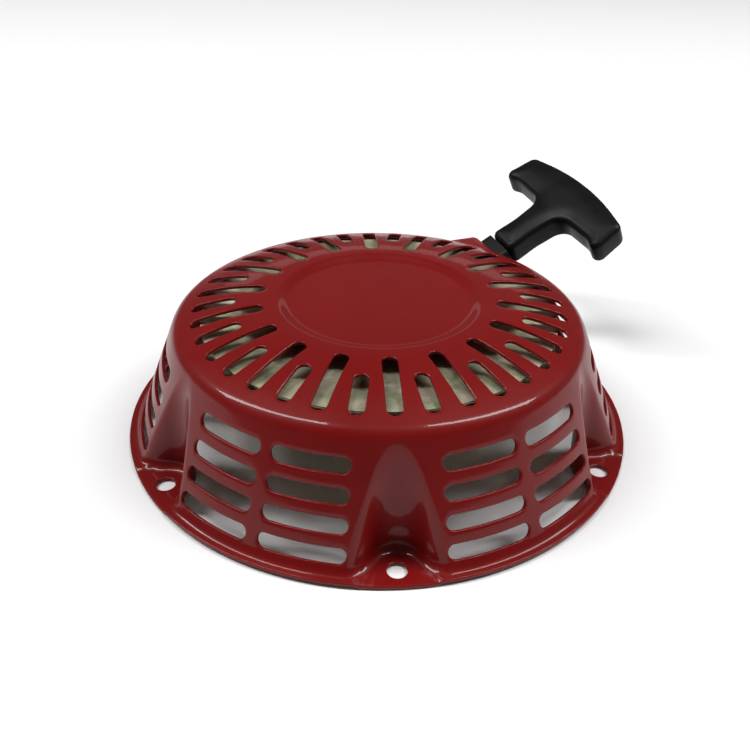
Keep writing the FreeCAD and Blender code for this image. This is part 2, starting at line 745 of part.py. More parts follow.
# --- write every piece -----------------------------------------------------------------------------
PIECES = {
    "housing": make_housing,
    "hub_plate": make_hub_plate,
    "hub_post": make_hub_post,
    "guide_collar": make_guide_collar,
    "centre_washer": make_centre_washer,
    "centre_screw": make_centre_screw,
    "rope_guide": make_rope_guide,
    "rope_eyelet": make_rope_eyelet,
    "reel_upper": make_reel_upper,
    "reel_lower": make_reel_lower,
    "reel_rivets": make_reel_rivets,
    "reel_boss": make_reel_boss,
    "reel_bush": make_reel_bush,
    "recoil_spring": make_recoil_spring,
    "rope_coil": make_rope_coil,
    "rope_anchor_knot": make_anchor_knot,
    "rope_run": make_rope_run,
    "pawl_pins": make_pawl_pins,
    "pawl_a": lambda: make_pawl(0),
    "pawl_b": lambda: make_pawl(1),
    "pawl_spring_a": lambda: make_pawl_spring(0),
    "pawl_spring_b": lambda: make_pawl_spring(1),
    "cam_plate": make_cam_plate,
    "friction_spring": make_friction_spring,
    "handle_grip": make_handle_grip,
    "handle_washer": make_handle_washer,
    "handle_knot": make_handle_knot,
    "handle_cap": make_handle_cap,
}


def main():
    os.makedirs("parts", exist_ok=True)
    for name, make in PIECES.items():
        shape = make()
        box = shape.BoundBox
        print(f"{name}: valid {shape.isValid()} solids {len(shape.Solids)} volume {shape.Volume:.0f} "
              f"z {box.ZMin:.1f}..{box.ZMax:.1f}")
        shape.exportStep(f"parts/{name}.step")


main()
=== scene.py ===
"""Looks of the recoil starter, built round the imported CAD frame.

Shapes are worked out in millimetres in the row frame and turned into metres as they are made.
+Z points away from the engine, and azimuths run from -Y towards +X.
"""
import json
import math

import bpy
import bmesh
import numpy as np
from mathutils import Matrix, Vector
from mathutils.geometry import delaunay_2d_cdt


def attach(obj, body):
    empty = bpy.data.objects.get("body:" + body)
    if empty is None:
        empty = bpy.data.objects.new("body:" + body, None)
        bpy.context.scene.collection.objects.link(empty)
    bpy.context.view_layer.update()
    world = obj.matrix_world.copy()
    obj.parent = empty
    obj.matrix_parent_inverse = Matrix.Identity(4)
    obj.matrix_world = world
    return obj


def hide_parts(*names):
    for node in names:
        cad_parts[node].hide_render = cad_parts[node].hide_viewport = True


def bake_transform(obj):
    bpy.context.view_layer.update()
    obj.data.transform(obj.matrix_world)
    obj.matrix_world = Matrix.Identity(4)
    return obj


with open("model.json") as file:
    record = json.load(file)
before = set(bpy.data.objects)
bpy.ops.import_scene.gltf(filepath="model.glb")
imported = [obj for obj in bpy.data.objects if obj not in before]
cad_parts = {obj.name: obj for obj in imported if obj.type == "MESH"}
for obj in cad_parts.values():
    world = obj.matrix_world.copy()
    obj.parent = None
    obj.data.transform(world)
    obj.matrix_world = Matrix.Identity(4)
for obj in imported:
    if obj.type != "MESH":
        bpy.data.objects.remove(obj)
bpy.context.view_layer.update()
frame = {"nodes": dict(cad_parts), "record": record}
nodes = frame["nodes"]
MM = 0.001


# --- camera, floor and light ------------------------------------------------------------------------
CAMERA_AZIMUTH = math.radians(-4.68)
CAMERA_ELEVATION = math.radians(35.01)
CAMERA_DISTANCE = 0.4105
CAMERA_PAN = math.radians(-0.20)
CAMERA_TILT = math.radians(2.29)
CAMERA_ROLL = math.radians(1.09)
CAMERA_LENS = 39.17
CAMERA_TARGET_Z = 0.3 * MM
FLOOR_SIDE = 12.0
FLOOR_Z = -0.3 * MM


def make_camera():
    """Looks at the middle of the flange, turned by small pan, tilt and roll angles."""
    away = Vector((0, -math.cos(CAMERA_ELEVATION), math.sin(CAMERA_ELEVATION)))
    ahead, right = -away, Vector((1, 0, 0))
    up = right.cross(ahead)
    look = (ahead * math.cos(CAMERA_PAN) * math.cos(CAMERA_TILT)
            + right * math.sin(CAMERA_PAN) * math.cos(CAMERA_TILT) + up * math.sin(CAMERA_TILT))
    level = look.cross(Vector((0, 0, 1))).normalized()
    top = level.cross(look)
    side = level * math.cos(CAMERA_ROLL) + top * math.sin(CAMERA_ROLL)
    top = top * math.cos(CAMERA_ROLL) - level * math.sin(CAMERA_ROLL)
    place = Matrix((side, top, -look)).transposed().to_4x4()
    place.translation = away * CAMERA_DISTANCE + Vector((0, 0, CAMERA_TARGET_Z))
    data = bpy.data.cameras.new("camera")
    data.lens = CAMERA_LENS
    data.sensor_width = 36.0
    data.clip_start = 0.01
    data.clip_end = 20.0
    camera = bpy.data.objects.new("camera", data)
    camera.matrix_world = Matrix.Rotation(CAMERA_AZIMUTH, 4, "Z") @ place
    bpy.context.scene.collection.objects.link(camera)
    bpy.context.scene.camera = camera


def softbox(name, azimuth, elevation, distance, size, power):
    """Rectangular light aimed at the part's middle."""
    data = bpy.data.lights.new(name, "AREA")
    data.shape = "RECTANGLE"
    data.size, data.size_y = size
    data.energy = power
    lamp = bpy.data.objects.new(name, data)
    a, e = math.radians(azimuth), math.radians(elevation)
    back = Vector((math.sin(a) * math.cos(e), -math.cos(a) * math.cos(e), math.sin(e)))
    lamp.location = back * distance
    lamp.rotation_euler = back.to_track_quat("Z", "Y").to_euler()
    bpy.context.scene.collection.objects.link(lamp)


def make_studio():
    world = bpy.data.worlds.new("studio")
    bpy.context.scene.world = world
    world.use_nodes = True
    sky = world.node_tree.nodes["Background"]
    sky.inputs["Color"].default_value = (1.0, 1.0, 1.0, 1.0)
    sky.inputs["Strength"].default_value = 0.09
    softbox("left", -104, 58, 3.0, (0.5, 2.1), 62)
    softbox("right", 94, 58, 3.0, (0.5, 2.1), 62)
    softbox("back", 176, 20, 3.0, (2.2, 0.3), 1.5)
    mesh = bpy.data.meshes.new("floor")
    half = FLOOR_SIDE / 2
    corners = [(-half, -half), (half, -half), (half, half), (-half, half)]
    mesh.from_pydata([(x, y, FLOOR_Z) for x, y in corners], [], [(0, 1, 2, 3)])
    floor = bpy.data.objects.new("floor", mesh)
    bpy.context.scene.collection.objects.link(floor)
    material = bpy.data.materials.new("floor_paper")
    material.use_nodes = True
    shader = material.node_tree.nodes["Principled BSDF"]
    shader.inputs["Base Color"].default_value = (0.93, 0.93, 0.93, 1)
    shader.inputs["Roughness"].default_value = 0.9
    floor.data.materials.append(material)
    bpy.context.scene.view_settings.view_transform = "Standard"


# --- procedural finishes ----------------------------------------------------------------------------
class Look:
    """A material and short ways to add the nodes that its finish is made of."""

    def __init__(self, name, metallic=0.0, coat=0.0):
        self.material = bpy.data.materials.new(name)
        self.material.use_nodes = True
        self.tree = self.material.node_tree
        self.shader = self.tree.nodes["Principled BSDF"]
        self.shader.inputs["Metallic"].default_value = metallic
        self.shader.inputs["Coat Weight"].default_value = coat
        self.place = self.node("ShaderNodeTexCoord").outputs["Object"]

    def node(self, kind, **settings):
        made = self.tree.nodes.new(kind)
        for key, value in settings.items():
            setattr(made, key, value)
        return made

    def wire(self, node, **sockets):
        """Sets a node's inputs by name from constants or from other nodes' outputs."""
        for key, value in sockets.items():
            socket = node.inputs[key.replace("_", " ")]
            if isinstance(value, bpy.types.NodeSocket):
                self.tree.links.new(value, socket)
            else:
                socket.default_value = value
        return node

    def finish(self, **sockets):
        self.wire(self.shader, **sockets)

    def stretched(self, x, y, z):
        node = self.node("ShaderNodeMapping")
        return self.wire(node, Vector=self.place, Scale=(x, y, z)).outputs["Vector"]

    def noise(self, scale, detail=3.0, roughness=0.5, distortion=0.0, place=None):
        node = self.node("ShaderNodeTexNoise")
        self.wire(node, Vector=place or self.place, Scale=scale, Detail=detail,
                  Roughness=roughness, Distortion=distortion)
        return node.outputs["Fac"]

    def cells(self, scale, place=None):
        node = self.node("ShaderNodeTexVoronoi")
        return self.wire(node, Vector=place or self.place, Scale=scale).outputs["Distance"]

    def rings(self, scale, detail=2.0):
        """Noise that only changes with the distance from the upright axis, as left by turning."""
        parts = self.wire(self.node("ShaderNodeSeparateXYZ"), Vector=self.place)
        flat = self.wire(self.node("ShaderNodeCombineXYZ"), X=parts.outputs["X"], Y=parts.outputs["Y"])
        length = self.node("ShaderNodeVectorMath", operation="LENGTH")
        self.wire(length, Vector=flat.outputs["Vector"])
        node = self.node("ShaderNodeTexNoise", noise_dimensions="1D")
        self.wire(node, W=length.outputs["Value"], Scale=scale, Detail=detail)
        return node.outputs["Fac"]

    def spread(self, value, low, high, start=0.35, end=0.65):
        node = self.node("ShaderNodeMapRange")
        node.inputs["From Min"].default_value = start
        node.inputs["From Max"].default_value = end
        node.inputs["To Min"].default_value = low
        node.inputs["To Max"].default_value = high
        return self.wire(node, Value=value).outputs["Result"]

    def tones(self, value, *stops):
        """Colour from a value, through (position, (r, g, b)) stops."""
        ramp = self.node("ShaderNodeValToRGB")
        elements = ramp.color_ramp.elements
        while len(elements) < len(stops):
            elements.new(0.5)
        for element, (position, colour) in zip(elements, stops):
            element.position = position
            element.color = (*colour, 1)
        return self.wire(ramp, Fac=value).outputs["Color"]

    def blend(self, share, a, b):
        node = self.node("ShaderNodeMix", data_type="RGBA")
        for socket, value in (("Factor_Float", share), ("A_Color", a), ("B_Color", b)):
            target = next(s for s in node.inputs if s.identifier == socket)
            if isinstance(value, bpy.types.NodeSocket):
                self.tree.links.new(value, target)
            else:
                target.default_value = (*value, 1)
        return next(s for s in node.outputs if s.identifier == "Result_Color")

    def bump(self, height, strength, depth, under=None):
        node = self.node("ShaderNodeBump")
        self.wire(node, Height=height, Strength=strength, Distance=depth)
        if under:
            self.wire(node, Normal=under)
        return node.outputs["Normal"]


def enamel():
    """Glossy red stoving enamel with a little orange peel and a trace of dust."""
    look = Look("red_enamel", coat=0.36)
    depth = look.tones(look.noise(14, 4, 0.6), (0.3, (0.165, 0.0036, 0.0034)),
                       (0.7, (0.198, 0.0052, 0.0047)))
    dust = look.spread(look.noise(900, 5, 0.75), 0, 0.16, 0.62, 0.8)
    peel = look.bump(look.noise(330, 2, 0.4), 0.05, 0.0004)
    look.finish(
        Base_Color=look.blend(dust, depth, (0.26, 0.05, 0.045)),
        Specular_IOR_Level=0.12,
        Roughness=look.spread(look.noise(40, 3), 0.34, 0.46),
        Coat_Roughness=look.spread(look.noise(60, 3), 0.03, 0.08),
        Normal=look.bump(look.noise(2600, 2), 0.03, 0.0001, peel),
        Coat_Normal=peel)
    return look.material


def plated():
    """Zinc plate with a yellow chromate that shifts from olive to straw."""
    look = Look("yellow_zinc", metallic=0.72)
    patches = look.noise(55, 5, 0.62, 1.4)
    tint = look.tones(patches, (0.3, (0.33, 0.36, 0.20)), (0.47, (0.53, 0.54, 0.35)),
                      (0.58, (0.68, 0.63, 0.44)), (0.75, (0.86, 0.80, 0.72)))
    look.finish(
        Base_Color=look.blend(look.spread(look.noise(700, 4, 0.7), 0, 0.3), tint, (0.44, 0.48, 0.38)),
        Roughness=look.spread(look.noise(120, 4, 0.6), 0.38, 0.62),
        Normal=look.bump(look.rings(2200), 0.12, 0.0002))
    return look.material


def turned_steel():
    look = Look("turned_steel", metallic=1.0)
    film = look.noise(90, 4, 0.6, 0.6)
    look.finish(
        Base_Color=look.tones(film, (0.3, (0.36, 0.35, 0.34)), (0.7, (0.55, 0.545, 0.53))),
        Roughness=look.spread(look.rings(5200, 3), 0.2, 0.36),
        Normal=look.bump(look.rings(3400, 3), 0.2, 0.0002))
    return look.material


def hard_steel():
    """Case-hardened grey with the mottled straw and blue that heat leaves."""
    look = Look("hard_steel", metallic=1.0)
    bloom = look.tones(look.noise(210, 3, 0.6, 1.0), (0.32, (0.16, 0.17, 0.2)),
                       (0.5, (0.25, 0.24, 0.23)), (0.7, (0.33, 0.28, 0.2)))
    look.finish(
        Base_Color=bloom,
        Roughness=look.spread(look.noise(400, 4), 0.33, 0.5),
        Normal=look.bump(look.noise(1900, 4), 0.1, 0.0002))
    return look.material


def spring_steel():
    """Blued strip and wire, drawn along their length and lightly oiled."""
    look = Look("spring_steel", metallic=1.0, coat=0.25)
    drawn = look.noise(60, 4, 0.6, 0.3, look.stretched(1, 1, 9))
    look.finish(
        Base_Color=look.tones(drawn, (0.3, (0.045, 0.055, 0.085)), (0.6, (0.10, 0.11, 0.13)),
                              (0.75, (0.17, 0.15, 0.12))),
        Roughness=look.spread(look.noise(500, 4, 0.6, 0, look.stretched(1, 1, 6)), 0.22, 0.38),
        Normal=look.bump(look.noise(1500, 3, 0.5, 0, look.stretched(1, 1, 12)), 0.08, 0.0002),
        Coat_Roughness=0.2)
    return look.material


def bronze():
    look = Look("sintered_bronze", metallic=1.0)
    pores = look.cells(2600)
    tint = look.tones(look.noise(160, 4, 0.6), (0.3, (0.24, 0.13, 0.055)), (0.7, (0.42, 0.26, 0.12)))
    look.finish(
        Base_Color=look.blend(look.spread(pores, 0.7, 0, 0.05, 0.3), tint, (0.07, 0.045, 0.03)),
        Roughness=look.spread(look.noise(600, 4), 0.38, 0.55),
        Normal=look.bump(pores, 0.25, 0.0001))
    return look.material


def chrome():
    look = Look("chrome", metallic=1.0)
    look.finish(
        Base_Color=look.tones(look.noise(120, 3), (0.3, (0.52, 0.53, 0.55)), (0.7, (0.62, 0.63, 0.64))),
        Roughness=look.spread(look.noise(300, 5, 0.7), 0.06, 0.14),
        Normal=look.bump(look.noise(2400, 3), 0.02, 0.0001))
    return look.material


def moulded(name, low, high, rough, grain, fibre=0.0):
    """Black moulding with a fine grain, and glass fibres near the skin where it is filled."""
    look = Look(name)
    body = look.tones(look.noise(45, 4, 0.6), (0.3, (low,) * 3), (0.7, (high, high, high * 1.03)))
    if fibre:
        threads = look.spread(look.noise(1200, 4, 0.7, 2.5, look.stretched(1, 4, 1)), 0, fibre, 0.55, 0.72)
        body = look.blend(threads, body, (0.12, 0.12, 0.125))
    look.finish(
        Base_Color=body,
        Specular_IOR_Level=0.16,
        Roughness=look.spread(look.noise(70, 4), rough - 0.05, rough + 0.07),
        Normal=look.bump(look.noise(grain, 3), 0.1, 0.0002))
    return look.material


def braided_nylon():
    """Woven cover: a patchy tint, fine lighter hairs and a little sheen; the crossing strands are in the
    rope's own shape.
    """
    look = Look("braided_nylon")
    dirt = look.noise(170, 5, 0.65)
    tint = look.tones(dirt, (0.3, (0.36, 0.35, 0.31)), (0.65, (0.60, 0.59, 0.54)))
    hairs = look.noise(4200, 4, 0.7)
    look.finish(
        Base_Color=look.blend(look.spread(hairs, 0, 0.45), tint, (0.72, 0.71, 0.67)),
        Roughness=look.spread(hairs, 0.62, 0.85),
        Normal=look.bump(hairs, 0.25, 0.0002))
    look.shader.inputs["Sheen Weight"].default_value = 0.25
    return look.material


LOOKS = {
    "housing_paint": enamel(),
    "zinc_steel": plated(),
    "bright_steel": turned_steel(),
    "hard_steel": hard_steel(),
    "spring_steel": spring_steel(),
    "bush_bronze": bronze(),
    "eyelet_chrome": chrome(),
    "rope_nylon": braided_nylon(),
    "guide_plastic": moulded("guide_plastic", 0.004, 0.007, 0.4, 1500),
    "cam_plastic": moulded("filled_nylon", 0.016, 0.028, 0.5, 900, 0.35),
    "grip_rubber": moulded("grip_moulding", 0.0025, 0.0045, 0.4, 1300),
}


# --- pressed housing, built as two skins over panels ------------------------------------------------
SHEET = 1.6
FLANGE_R = 120.0
WALL_FOOT_R = 116.2
WALL_FOOT_Z = 1.6
WALL_LEAN = math.radians(22.3)
CROWN_Z = 63.3
CROWN_FLAT_R = 50.0
CROWN_ARC_R = 118.0
CROWN_END_R = 89.7
SHOULDER_R = 7.7
DISH_DEPTH = 2.0
DISH_FLOOR_R = 41.2
DISH_RIM_R = 48.0
FOOT_RISE = 3.4
FOOT_REACH_BAY = 2.0
FOOT_REACH_POCKET = 4.4
PAD_DROP = 0.8
PAD_NOSE_R = 9.8
LIP = 0.5
LIP_STEPS = 3
SLIVER = 1e-5
SHELL_WELD = 0.03 * MM
PIECE_WELD = 0.005 * MM

BAY_DEG = 60.0
BOLT_CIRCLE_R = 111.4
BOLT_HOLE_R = 4.1
POCKET_BACK_R = 99.5
POCKET_NOSE_R = 12.0
POCKET_FLARE = math.radians(32.0)
POCKET_LEAN = 0.04
POCKET_SHARPEST = 3.0
POCKET_SOFTER = 8.0
POCKET_SOFT_Z = 46.0
POCKET_SOFT_SPAN = 34.0
POCKET_DEPTH_RANGE = 9.0
NO_POCKET_R = 400.0
NARROWEST_OPENING = 0.05
STEEPEST_SLANT = 2.0
PAD_STEP = 3.2
RIM_LAND = 1.3
BOLTS = 6
COLUMNS = 121
SLOT_PITCH_DEG = 20.0
SLOT_HALF_WIDTH = 3.25
SLOT_OUTER_R = 86.7
SLOT_INNER_R = (53.7, 65.9)
LOUVRE_ROWS_Z = (9.2, 20.2, 31.2, 42.4)
LOUVRE_COLUMNS_DEG = (-10.7, 10.7)
LOUVRE_HALF_HEIGHT = 3.0
LOUVRE_HALF_SPAN = math.radians(9.3)


def band_faces(rows, count, closed=True):
    """Quads between neighbouring rows of points."""
    last = count if closed else count - 1
    faces = []
    for near in range(0, (rows - 1) * count, count):
        far = near + count
        for i in range(last):
            j = (i + 1) % count
            faces.append((near + i, near + j, far + j, far + i))
    return faces


def welded(mesh, distance):
    """Joins points that meet and turns the faces outwards."""
    shape = bmesh.new()
    shape.from_mesh(mesh)
    bmesh.ops.remove_doubles(shape, verts=shape.verts, dist=distance)
    bmesh.ops.recalc_face_normals(shape, faces=shape.faces)
    shape.to_mesh(mesh)
    shape.free()


def smooth_step(x):
    x = np.clip(x, 0.0, 1.0)
    return x * x * (3 - 2 * x)


def smooth_min(a, b, blend):
    """The lower of two heights, with the crease between them rounded over the blend."""
    share = np.clip(blend - np.abs(a - b), 0.0, None) / blend
    return np.minimum(a, b) - share * share * blend / 4


def crown_height(r):
    arc = CROWN_Z - CROWN_ARC_R + np.sqrt(CROWN_ARC_R ** 2 - np.clip(r - CROWN_FLAT_R, 0, None) ** 2)
    return arc - DISH_DEPTH * (1 - smooth_step((r - DISH_FLOOR_R) / (DISH_RIM_R - DISH_FLOOR_R)))


def top_surface(p):
    r = np.hypot(p[:, 0], p[:, 1])
    return np.column_stack((p[:, 0], p[:, 1], crown_height(r)))


CROWN_TURN = math.asin((CROWN_END_R - CROWN_FLAT_R) / CROWN_ARC_R)
CROWN_END_Z = float(crown_height(np.array([CROWN_END_R]))[0])
WALL_TURN = math.pi / 2 - WALL_LEAN
SHOULDER_ARC = SHOULDER_R * (WALL_TURN - CROWN_TURN)


def shoulder_start():
    """Length of the straight between the crown's end and the shoulder's fillet."""
    corner_reach = SHOULDER_R * math.tan((WALL_TURN - CROWN_TURN) / 2)
    way = (math.cos(CROWN_TURN), -math.sin(CROWN_TURN))
    lean = (-math.sin(WALL_LEAN), math.cos(WALL_LEAN))
    gap = (WALL_FOOT_R - CROWN_END_R, WALL_FOOT_Z - CROWN_END_Z)
    along = (gap[0] * lean[1] - gap[1] * lean[0]) / (way[0] * lean[1] - way[1] * lean[0])
    return along - corner_reach


STRAIGHT = shoulder_start()
SHOULDER_END = STRAIGHT + SHOULDER_ARC


def shoulder_profile(v):
    """(radius, height) from the crown's end down over the shoulder."""
    run = np.minimum(v, STRAIGHT)
    turn = CROWN_TURN + np.clip(v - STRAIGHT, 0, SHOULDER_ARC) / SHOULDER_R
    r = CROWN_END_R + run * math.cos(CROWN_TURN) + SHOULDER_R * (np.sin(turn) - math.sin(CROWN_TURN))
    z = CROWN_END_Z - run * math.sin(CROWN_TURN) + SHOULDER_R * (np.cos(turn) - math.cos(CROWN_TURN))
    return r, z


WALL_TOP_Z = float(shoulder_profile(np.array([SHOULDER_END]))[1][0])
FOOT_TOP_Z = WALL_FOOT_Z + PAD_DROP + FOOT_RISE
WALL_RUN = (WALL_TOP_Z - FOOT_TOP_Z) / math.cos(WALL_LEAN)
WALL_END = SHOULDER_END + WALL_RUN
FOOT_ARC = 5.0
FOOT_END = WALL_END + FOOT_ARC


def wall_line(z):
    return WALL_FOOT_R - (z - WALL_FOOT_Z) * math.tan(WALL_LEAN)


def wall_place(z):
    """Distance down the wall panel at a height on the plain wall."""
    return SHOULDER_END + (WALL_TOP_Z - z) / math.cos(WALL_LEAN)


def v_nose(delta, centre, nose_r):
    """Radius at which the ray at an angle from a pocket's middle meets its V-shaped outline."""
    delta = np.abs(delta)
    tip = centre - nose_r / math.sin(POCKET_FLARE)
    opening = np.cos(delta) - np.sin(delta) / math.tan(POCKET_FLARE)
    line = np.where(opening > NARROWEST_OPENING, tip / np.maximum(opening, NARROWEST_OPENING), NO_POCKET_R)
    under_root = np.clip(nose_r ** 2 - (centre * np.sin(delta)) ** 2, 0, None)
    circle = centre * np.cos(delta) - np.sqrt(under_root)
    tangent = np.arctan2(nose_r * math.cos(POCKET_FLARE), centre - nose_r * math.sin(POCKET_FLARE))
    return np.where(delta < tangent, circle, line)


def from_pocket(theta):
    """Angle from the middle of the nearest bolt pocket."""
    bay = math.radians(BAY_DEG)
    return theta - bay * np.round(theta / bay)


def pocketed(theta, r, z):
    centre = POCKET_BACK_R + POCKET_NOSE_R - POCKET_LEAN * (z - WALL_FOOT_Z)
    softness = POCKET_SHARPEST + POCKET_SOFTER * smooth_step((POCKET_SOFT_Z - z) / POCKET_SOFT_SPAN)
    return smooth_min(r, v_nose(from_pocket(theta), centre, POCKET_NOSE_R), softness)


def foot_radius(theta):
    """Where the wall's foot runs out into the flange, and how far the foot reaches to it."""
    low = np.full_like(theta, WALL_FOOT_Z + 1.0)
    step = 1e-3
    base = pocketed(theta, wall_line(low), low)
    after, before = (pocketed(theta + way * step, wall_line(low), low) for way in (1, -1))
    slope = (after - before) / 2 / step
    slant = np.minimum(np.sqrt(1 + (slope / base) ** 2), STEEPEST_SLANT)
    depth = smooth_step((WALL_FOOT_R - base) / POCKET_DEPTH_RANGE)
    reach = (FOOT_REACH_BAY + (FOOT_REACH_POCKET - FOOT_REACH_BAY) * depth) * slant
    ground = pocketed(theta, wall_line(low - 1.0), low - 1.0)
    reach = np.minimum(reach, FLANGE_R - RIM_LAND - ground)
    return ground + reach, reach


def flange_height(theta, r):
    """Upper face of the flange, lower on the six bolt pads."""
    edge = v_nose(from_pocket(theta), BOLT_CIRCLE_R, PAD_NOSE_R)
    return WALL_FOOT_Z + PAD_DROP * smooth_step((edge - r + PAD_STEP / 2) / PAD_STEP)


def wall_surface(p):
    theta, v = p[:, 0] / WALL_FOOT_R, p[:, 1]
    foot, reach = foot_radius(theta)
    ground = flange_height(theta, foot)
    phase = np.clip((v - WALL_END) / FOOT_ARC, 0, 1) * math.pi / 2
    r, z = shoulder_profile(v)
    down = np.clip(v - SHOULDER_END, 0, WALL_RUN)
    wall_z = WALL_TOP_Z - down * math.cos(WALL_LEAN)
    wall_z = np.where(v > WALL_END, ground + (FOOT_TOP_Z - ground) * (1 - np.sin(phase)), wall_z)
    z = np.where(v > SHOULDER_END, wall_z, z)
    r = np.where(v > SHOULDER_END, wall_line(z), r)
    r = pocketed(theta, r, z) + reach * (1 - np.cos(phase))
    landing = pocketed(theta, wall_line(ground), ground) + reach
    r += (foot - landing) * (phase / (math.pi / 2)) ** 2
    return np.column_stack((r * np.sin(theta), -r * np.cos(theta), z))


def flange_surface(p):
    r, theta = np.hypot(p[:, 0], p[:, 1]), np.arctan2(p[:, 0], -p[:, 1])
    return np.column_stack((p[:, 0], p[:, 1], flange_height(theta, r)))


def skin_normals(surface, p):
    """Unit normals of a surface over its flat panel, pointing out of the housing."""
    step = 0.02
    across = surface(p + (step, 0.0)) - surface(p - (step, 0.0))
    along = surface(p + (0.0, step)) - surface(p - (0.0, step))
    n = np.cross(across, along)
    n /= np.linalg.norm(n, axis=1)[:, None]
    away = surface(p) * (1, 1, 0.6)
    return n * np.sign(np.sum(n * away, axis=1))[:, None]


def top_normals(p):
    return skin_normals(top_surface, p)


def wall_normals(p):
    n = skin_normals(wall_surface, p)
    n[p[:, 1] > FOOT_END - 1e-3] = (0, 0, 1)
    return n


def flange_normals(p):
    return np.tile((0.0, 0.0, 1.0), (len(p), 1))


def capsule_loop(a, b, radius, step):
    """Points round a slot with round ends, evenly spaced, anticlockwise."""
    a, b = np.array(a, float), np.array(b, float)
    way = (b - a) / np.linalg.norm(b - a)
    turn = math.atan2(way[1], way[0])
    sides = max(2, round(np.linalg.norm(b - a) / step))
    ends = max(6, round(math.pi * radius / step))
    side = np.array((way[1], -way[0])) * radius
    points = [a + side + (b - a) * i / sides for i in range(sides)]
    points += [b + radius * np.array((math.cos(t), math.sin(t)))
               for t in (turn - math.pi / 2 + math.pi * i / ends for i in range(ends))]
    points += [b - side + (a - b) * i / sides for i in range(sides)]
    points += [a + radius * np.array((math.cos(t), math.sin(t)))
               for t in (turn + math.pi / 2 + math.pi * i / ends for i in range(ends))]
    return np.array(points)


def inward(loop):
    """Unit directions from an anticlockwise loop's points into it."""
    chord = np.roll(loop, -1, 0) - np.roll(loop, 1, 0)
    chord /= np.linalg.norm(chord, axis=1)[:, None]
    return np.column_stack((-chord[:, 1], chord[:, 0]))


def inside(loop, p):
    """Which points lie inside a closed loop."""
    a, b = loop, np.roll(loop, -1, 0)
    x, y = p[:, 0][:, None], p[:, 1][:, None]
    crosses = (a[None, :, 1] > y) != (b[None, :, 1] > y)
    rise = np.where(b[:, 1] == a[:, 1], 1e-12, b[:, 1] - a[:, 1])
    at = a[None, :, 0] + (y - a[None, :, 1]) * (b[:, 0] - a[:, 0])[None, :] / rise[None, :]
    return (crosses & (x < at)).sum(axis=1) % 2 == 1


def distance_to(loop, p):
    a, b = loop, np.roll(loop, -1, 0)
    ab = b - a
    t = ((p[:, None, :] - a[None]) * ab[None]).sum(2) / (ab ** 2).sum(1)[None]
    near = a[None] + np.clip(t, 0, 1)[..., None] * ab[None]
    return np.linalg.norm(p[:, None, :] - near, axis=2).min(axis=1)


def triangulated(border, holes, fill, clear):
    """Delaunay triangles over a panel: its border loop, its holes' loops and loose points between."""
    loops = [border, *holes]
    fill = fill[inside(border, fill) & (distance_to(border, fill) > clear * 0.6)]
    for loop in holes:
        fill = fill[~inside(loop, fill) & (distance_to(loop, fill) > clear * 0.75)]
    points = np.vstack([*loops, fill])
    edges, start = [], 0
    for loop in loops:
        edges += [(start + i, start + (i + 1) % len(loop)) for i in range(len(loop))]
        start += len(loop)
    out = delaunay_2d_cdt([Vector(p) for p in points], edges, [], 0, 1e-7)
    points = np.array([tuple(p) for p in out[0]])
    triangles = np.array(out[2])
    middle = points[triangles].mean(axis=1)
    keep = inside(border, middle)
    for loop in holes:
        keep &= ~inside(loop, middle)
    a, b, c = (points[triangles[:, i]] for i in range(3))
    area = (b[:, 0] - a[:, 0]) * (c[:, 1] - a[:, 1]) - (b[:, 1] - a[:, 1]) * (c[:, 0] - a[:, 0])
    keep &= np.abs(area) > SLIVER * np.linalg.norm(points.max(0) - points.min(0))
    return points, triangles[keep]


TOP = (top_surface, top_normals)
WALL = (wall_surface, wall_normals)
FLANGE = (flange_surface, flange_normals)


class Shell:
    """Collects both skins and the rolled rims between them."""

    def __init__(self, thickness):
        self.thickness = thickness
        self.points, self.faces, self.count = [], [], 0

    def add(self, points, faces):
        self.points.append(points)
        self.faces += [tuple(int(i) + self.count for i in f) for f in faces]
        self.count += len(points)

    def panel(self, skin, points, triangles, turns=(0.0,)):
        surface, normals_of = skin
        outer, normals = surface(points), normals_of(points)
        inner = outer - normals * self.thickness
        first = outer[triangles[0]]
        facing = np.cross(first[1] - first[0], first[2] - first[0]) @ normals[triangles[0][0]]
        front = triangles if facing > 0 else triangles[:, ::-1]
        for turn in turns:
            self.add(turned(outer, turn), front)
            self.add(turned(inner, turn), front[:, ::-1])

    def rim(self, skin, loop, into, turns=(0.0,), closed=True):
        """Rounded edge that joins the skins along a loop; into points away from the sheet."""
        surface, normals_of = skin
        rows = []
        rounds = [(LIP * math.sin(t), LIP * (1 - math.cos(t)))
                  for t in (math.pi / 2 * i / LIP_STEPS for i in range(LIP_STEPS + 1))]
        for reach, depth in rounds + [(a, self.thickness - b) for a, b in reversed(rounds)]:
            p = loop + into * reach
            rows.append(surface(p) - normals_of(loop) * depth)
        faces = band_faces(len(rows), len(loop), closed)
        for turn in turns:
            self.add(turned(np.vstack(rows), turn), faces)

    def strip(self, rows, ways):
        """Both skins over closed rows of points, with the outward way at each point."""
        faces = band_faces(len(rows), len(rows[0]))
        self.add(np.vstack(rows), faces)
        self.add(np.vstack(rows) - np.vstack(ways) * self.thickness, [f[::-1] for f in faces])

    def made(self, name):
        points = np.vstack(self.points) * MM
        mesh = bpy.data.meshes.new(name)
        mesh.from_pydata(points.tolist(), [], self.faces)
        welded(mesh, SHELL_WELD)
        return placed(name, mesh)


def placed(name, mesh):
    for polygon in mesh.polygons:
        polygon.use_smooth = True
    thing = bpy.data.objects.new(name, mesh)
    bpy.context.scene.collection.objects.link(thing)
    return thing


def turned(points, degrees):
    c, s = math.cos(math.radians(degrees)), math.sin(math.radians(degrees))
    return points @ np.array(((c, s, 0), (-s, c, 0), (0, 0, 1)))


def polar(r, degrees):
    angle = np.radians(degrees)
    return np.column_stack((r * np.sin(angle), -r * np.cos(angle)))


